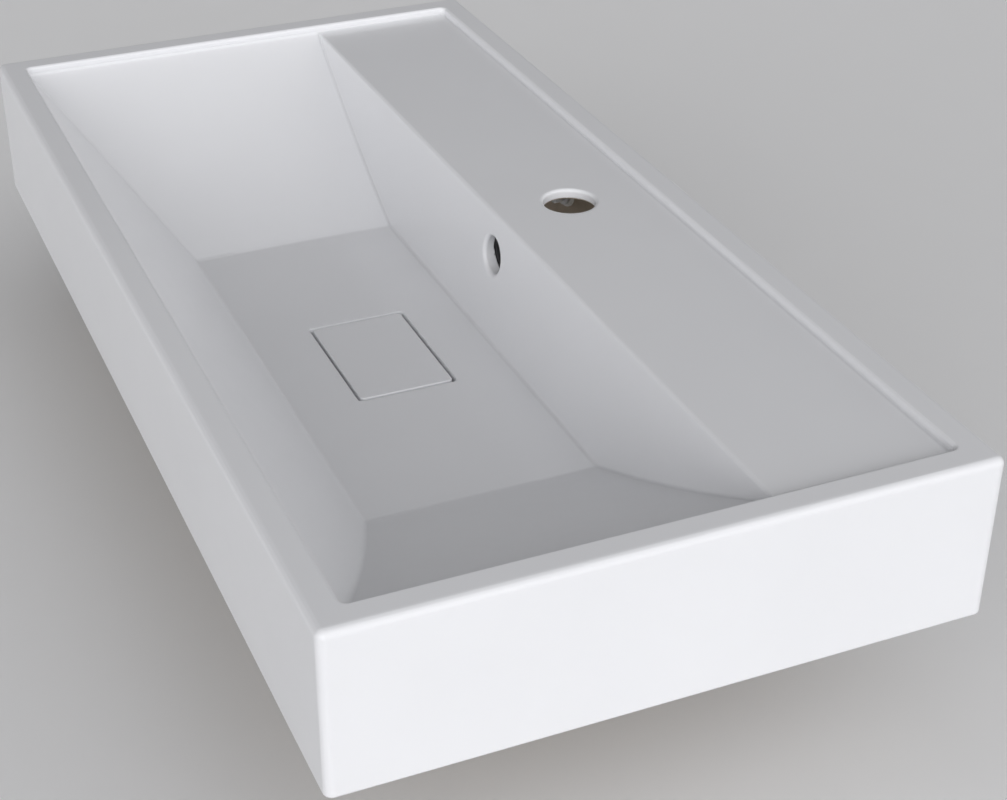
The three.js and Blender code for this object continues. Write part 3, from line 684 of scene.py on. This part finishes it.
for side_name, side in (("left", -1), ("right", 1)):
    screw_at, bolt_at = (side * SCREW_X, 0, OVERFLOW_Z), (side * FIXING_X, 0, FIXING_Z)
    TURNED += [
        ("overflow_screw_" + side_name, "steel", "root", SCREW, screw_at, "back",
         {"steps": 64, "soft": 0.5, "step": 0.25, "shape": cross_recess}),
        ("wall_anchor_" + side_name, "grey_plastic", "root",
         [[bore, 0.6], [8.5, 0.6], [8.5, 1.8], [7, 1.8], [7, 52], [6, 58], [bore, 58]],
         bolt_at, "back", {"steps": 72, "soft": 0.3, "step": 0.6, "shape": barbed}),
        ("wall_bush_" + side_name, "white_plastic", "root",
         [[bore, bush - 3], [14, bush - 3], [14, bush], [8.7, bush], [8.7, -1], [bore, -1]],
         bolt_at, "back", {"soft": 0.6}),
        ("wall_washer_" + side_name, "steel", "root", ring(12, bore, bush - 5.6, bush - 3.3),
         bolt_at, "back", {"soft": 0.4}),
        ("wall_nut_" + side_name, "steel", "root",
         [[bore, bush - 13.9], [8.9, bush - 13.9], [9.8, bush - 13.2], [9.8, bush - 6.6],
          [8.9, bush - 5.9], [bore, bush - 5.9]],
         bolt_at, "back", {"steps": 96, "soft": 0.3, "shape": hexed(-40, -10, 6.5, 17)}),
    ]


def bolt_thread(points):
    """A machine thread towards the room, a plain shank, and a wood thread that bites the anchor."""
    points = thread(-39.5, -2, 3.4, 1.5, 0.75)(points)
    return thread(7, 53.5, 1.9, 4.2, 1.1, 4)(points)


def make_bolt(side_name, side):
    outline = [[0, -40], [4, -40], [5, -39], [5, 44], [2, 54], [0, 54]]
    at = (side * FIXING_X, 0, FIXING_Z)
    name = "wall_bolt_" + side_name + "_threaded"
    return turned(name, outline, at, "back", 48, 0.2, 0.28, bolt_thread)


# ---- Materials ----
def principled(name):
    made = bpy.data.materials.new(name)
    made.use_nodes = True
    return made, made.node_tree, made.node_tree.nodes["Principled BSDF"]


def noise(tree, scale, detail=3.0, stretch=(1, 1, 1)):
    """Noise over the object's own metres, as a socket round 0.5."""
    place_node = tree.nodes.new("ShaderNodeTexCoord")
    mapping = tree.nodes.new("ShaderNodeMapping")
    mapping.inputs["Scale"].default_value = stretch
    texture = tree.nodes.new("ShaderNodeTexNoise")
    texture.inputs["Scale"].default_value = scale
    texture.inputs["Detail"].default_value = detail
    tree.links.new(place_node.outputs["Object"], mapping.inputs["Vector"])
    tree.links.new(mapping.outputs["Vector"], texture.inputs["Vector"])
    return texture.outputs["Fac"]


def ranged(tree, source, low, high, near=0.3, far=0.7):
    node = tree.nodes.new("ShaderNodeMapRange")
    node.inputs["From Min"].default_value = near
    node.inputs["From Max"].default_value = far
    node.inputs["To Min"].default_value = low
    node.inputs["To Max"].default_value = high
    tree.links.new(source, node.inputs["Value"])
    return node.outputs["Result"]


def blended(tree, source, first, second):
    node = tree.nodes.new("ShaderNodeMix")
    node.data_type = "RGBA"
    node.inputs["A"].default_value = (*first, 1)
    node.inputs["B"].default_value = (*second, 1)
    tree.links.new(source, node.inputs["Factor"])
    return node.outputs["Result"]


def material(name, colours, blotch, roughness, grain, depth, stretch=(1, 1, 1), **fixed):
    """Colour that wanders between two over blotches, a range of roughness, and a fine grain in
    relief. blotch and grain are how many there are to a metre; depth is in metres."""
    made, tree, shader = principled(name)
    colour = blended(tree, ranged(tree, noise(tree, blotch), 0, 1), *colours)
    tree.links.new(colour, shader.inputs["Base Color"])
    fine = noise(tree, grain, 4.0, stretch)
    tree.links.new(ranged(tree, fine, *roughness), shader.inputs["Roughness"])
    bump = tree.nodes.new("ShaderNodeBump")
    bump.inputs["Strength"].default_value = 1.0
    bump.inputs["Distance"].default_value = depth
    tree.links.new(fine, bump.inputs["Height"])
    tree.links.new(bump.outputs["Normal"], shader.inputs["Normal"])
    for socket, value in fixed.items():
        shader.inputs[socket.replace("_", " ")].default_value = value
    return made


def shaded_in_creases(made, reach, dark):
    """Takes the colour towards a darker one where faces meet within reach: painted shade in the
    creases and corners.
    """
    tree = made.node_tree
    colour_socket = tree.nodes["Principled BSDF"].inputs["Base Color"]
    colour = colour_socket.links[0].from_socket
    # painted shade: ambient occlusion picks out creases, corners and gaps, where shade falls
    hidden = tree.nodes.new("ShaderNodeAmbientOcclusion")
    hidden.inputs["Distance"].default_value = reach
    hidden.samples = 8
    open_share = ranged(tree, hidden.outputs["AO"], 0, 1, 0.72, 0.97)
    node = tree.nodes.new("ShaderNodeMix")
    node.data_type = "RGBA"
    node.inputs["A"].default_value = (*dark, 1)
    tree.links.new(colour, node.inputs["B"])
    tree.links.new(open_share, node.inputs["Factor"])
    tree.links.new(node.outputs["Result"], colour_socket)


# lathe marks run round a turned piece, so metal's grain is finest along its axis
MATERIALS = {
    "glaze": material("glaze", ((0.845, 0.85, 0.868), (0.862, 0.867, 0.885)), 9, (0.30, 0.36),
                      70, 0.00003, Coat_Weight=0.15, Coat_Roughness=0.12),
    "chrome": material("chrome", ((0.74, 0.75, 0.77), (0.80, 0.81, 0.82)), 60, (0.08, 0.16),
                       900, 0.000004, Metallic=1.0),
    "brass": material("brass", ((0.62, 0.47, 0.22), (0.74, 0.59, 0.31)), 90, (0.26, 0.42),
                      500, 0.00001, (1, 1, 6), Metallic=1.0),
    "steel": material("steel", ((0.52, 0.53, 0.54), (0.66, 0.67, 0.68)), 160, (0.3, 0.46),
                      700, 0.00001, (1, 4, 1), Metallic=1.0),
    "rubber": material("rubber", ((0.022, 0.022, 0.024), (0.036, 0.036, 0.038)), 120,
                       (0.62, 0.8), 1500, 0.00002),
    "black_plastic": material("black_plastic", ((0.034, 0.034, 0.036), (0.05, 0.05, 0.052)), 80,
                              (0.38, 0.52), 1300, 0.00002),
    "white_plastic": material("white_plastic", ((0.74, 0.74, 0.71), (0.8, 0.8, 0.78)), 60,
                              (0.34, 0.46), 900, 0.00001),
    "grey_plastic": material("grey_plastic", ((0.24, 0.25, 0.26), (0.3, 0.31, 0.32)), 90,
                             (0.42, 0.56), 1300, 0.00002),
}
# painted shade: the glaze darkens to this grey in its creases, corners and the cover's gap
shaded_in_creases(MATERIALS["glaze"], 0.0018, (0.5, 0.505, 0.52))
BODY = material("raw_body", ((0.42, 0.36, 0.29), (0.52, 0.45, 0.37)), 45, (0.8, 0.92), 600, 0.00008)


def finish_piece(piece, node, slot, body="root"):
    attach(piece, body)
    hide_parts(node)
    piece.data.materials.clear()
    piece.data.materials.append(MATERIALS[slot])


# ---- The pieces ----
washbasin = make_basin()
raw_faces = read(washbasin.data.polygons, "material_index", 1, np.int32)
finish_piece(washbasin, "basin", "glaze")
washbasin.data.materials.append(BODY)
washbasin.data.polygons.foreach_set("material_index", raw_faces)

cover_ends = mirrored(bands((0, 7.5), (46, 0.7), (52.4, 1)))
cover_ys = DRAIN_Y + mirrored(bands((0, 7), (28, 0.7), (34.4, 1)))
cover_plate = carved("cover_plate_glazed", cover, cover_ends, cover_ys, bands((2, 0.35), (10, 1)))
finish_piece(cover_plate, "cover_plate", "glaze", "cover")

waste_xs = mirrored(bands((0, 1), (32, 1)))
waste_ys = DRAIN_Y + bands((-32, 1), (47, 1))
waste_zs = bands((-101.5, 0.55), (-31, 0.9), (-12, 0.45), (-6.5, 1))
waste_body = carved("waste_body_threaded", waste, waste_xs, waste_ys, waste_zs)
finish_piece(waste_body, "waste_body", "chrome")

elbow_xs = mirrored(bands((0, 0.8), (32, 1)))
overflow_elbow = carved("overflow_elbow_moulded", elbow, elbow_xs, bands((-132.5, 0.7), (-98.5, 1)),
                        bands((38.5, 0.9), (91.5, 1)))
finish_piece(overflow_elbow, "overflow_elbow", "black_plastic")

finish_piece(pipe(), "overflow_pipe", "white_plastic")
for node, slot, body, outline, at, axis, how in TURNED:
    finish_piece(turned(node + "_turned", outline, at, axis, **how), node, slot, body)
for side_name, side in (("left", -1), ("right", 1)):
    finish_piece(make_bolt(side_name, side), "wall_bolt_" + side_name, "steel")

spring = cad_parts["clicker_spring"]
spring.data.materials.clear()
spring.data.materials.append(MATERIALS["steel"])

# ---- Camera ----
camera = bpy.data.objects.new("camera", bpy.data.cameras.new("camera"))
bpy.context.scene.collection.objects.link(camera)
camera.location = (1.0966, -0.6091, 0.6820 + SKIRT_Z * MM)
camera.rotation_euler = [math.radians(a) for a in (58.334, 0.066, 67.226)]
camera.data.lens = 68.44
camera.data.shift_x, camera.data.shift_y = 0.0280, 0.0067
bpy.context.scene.camera = camera

# ---- Floor ----
FLOOR_HALF_SIDE, FLOOR_GAP = 30.0, 0.007  # metres
floor_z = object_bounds()[0][2] - FLOOR_GAP
half = FLOOR_HALF_SIDE
floor_mesh = bpy.data.meshes.new("floor")
corners = ((-half, -half), (half, -half), (half, half), (-half, half))
floor_mesh.from_pydata([(x, y, floor_z) for x, y in corners], [], [(0, 1, 2, 3)])
floor = bpy.data.objects.new("floor", floor_mesh)
bpy.context.scene.collection.objects.link(floor)
pale = material("pale_floor", ((0.87, 0.87, 0.87), (0.9, 0.9, 0.9)), 0.8, (0.7, 0.8), 30, 0.0001)
floor.data.materials.append(pale)

# ---- Soft studio light: broad glows round the horizon, as (azimuth, elevation, strength) ----
GLOWS = ((315, 8, 3.0), (22, 38, 0.96), (90, 8, 0.6), (45, 8, 0.8))
GLOW_WIDTH = 5.0  # a larger number is a narrower glow
world = bpy.data.worlds.new("studio")
world.use_nodes = True
tree = world.node_tree
towards = tree.nodes.new("ShaderNodeTexCoord").outputs["Generated"]
total = None
for azimuth, elevation, strength in GLOWS:
    azimuth, elevation = math.radians(azimuth), math.radians(elevation)
    flat = math.cos(elevation)
    facing = tree.nodes.new("ShaderNodeVectorMath")
    facing.operation = "DOT_PRODUCT"
    facing.inputs[1].default_value = (
        flat * math.cos(azimuth), flat * math.sin(azimuth), math.sin(elevation))
    tree.links.new(towards, facing.inputs[0])
    fall = tree.nodes.new("ShaderNodeMath")
    fall.operation = "MULTIPLY_ADD"
    fall.inputs[1].default_value = GLOW_WIDTH
    fall.inputs[2].default_value = math.log(strength) - GLOW_WIDTH
    tree.links.new(facing.outputs["Value"], fall.inputs[0])
    glow = tree.nodes.new("ShaderNodeMath")
    glow.operation = "EXPONENT"
    tree.links.new(fall.outputs[0], glow.inputs[0])
    if total:
        add = tree.nodes.new("ShaderNodeMath")
        add.operation = "ADD"
        tree.links.new(total, add.inputs[0])
        tree.links.new(glow.outputs[0], add.inputs[1])
        total = add.outputs[0]
    else:
        total = glow.outputs[0]
background = tree.nodes["Background"]
background.inputs["Color"].default_value = (0.985, 0.985, 1.0, 1)
tree.links.new(total, background.inputs["Strength"])
bpy.context.scene.world = world
bpy.context.scene.view_settings.view_transform = "Standard"
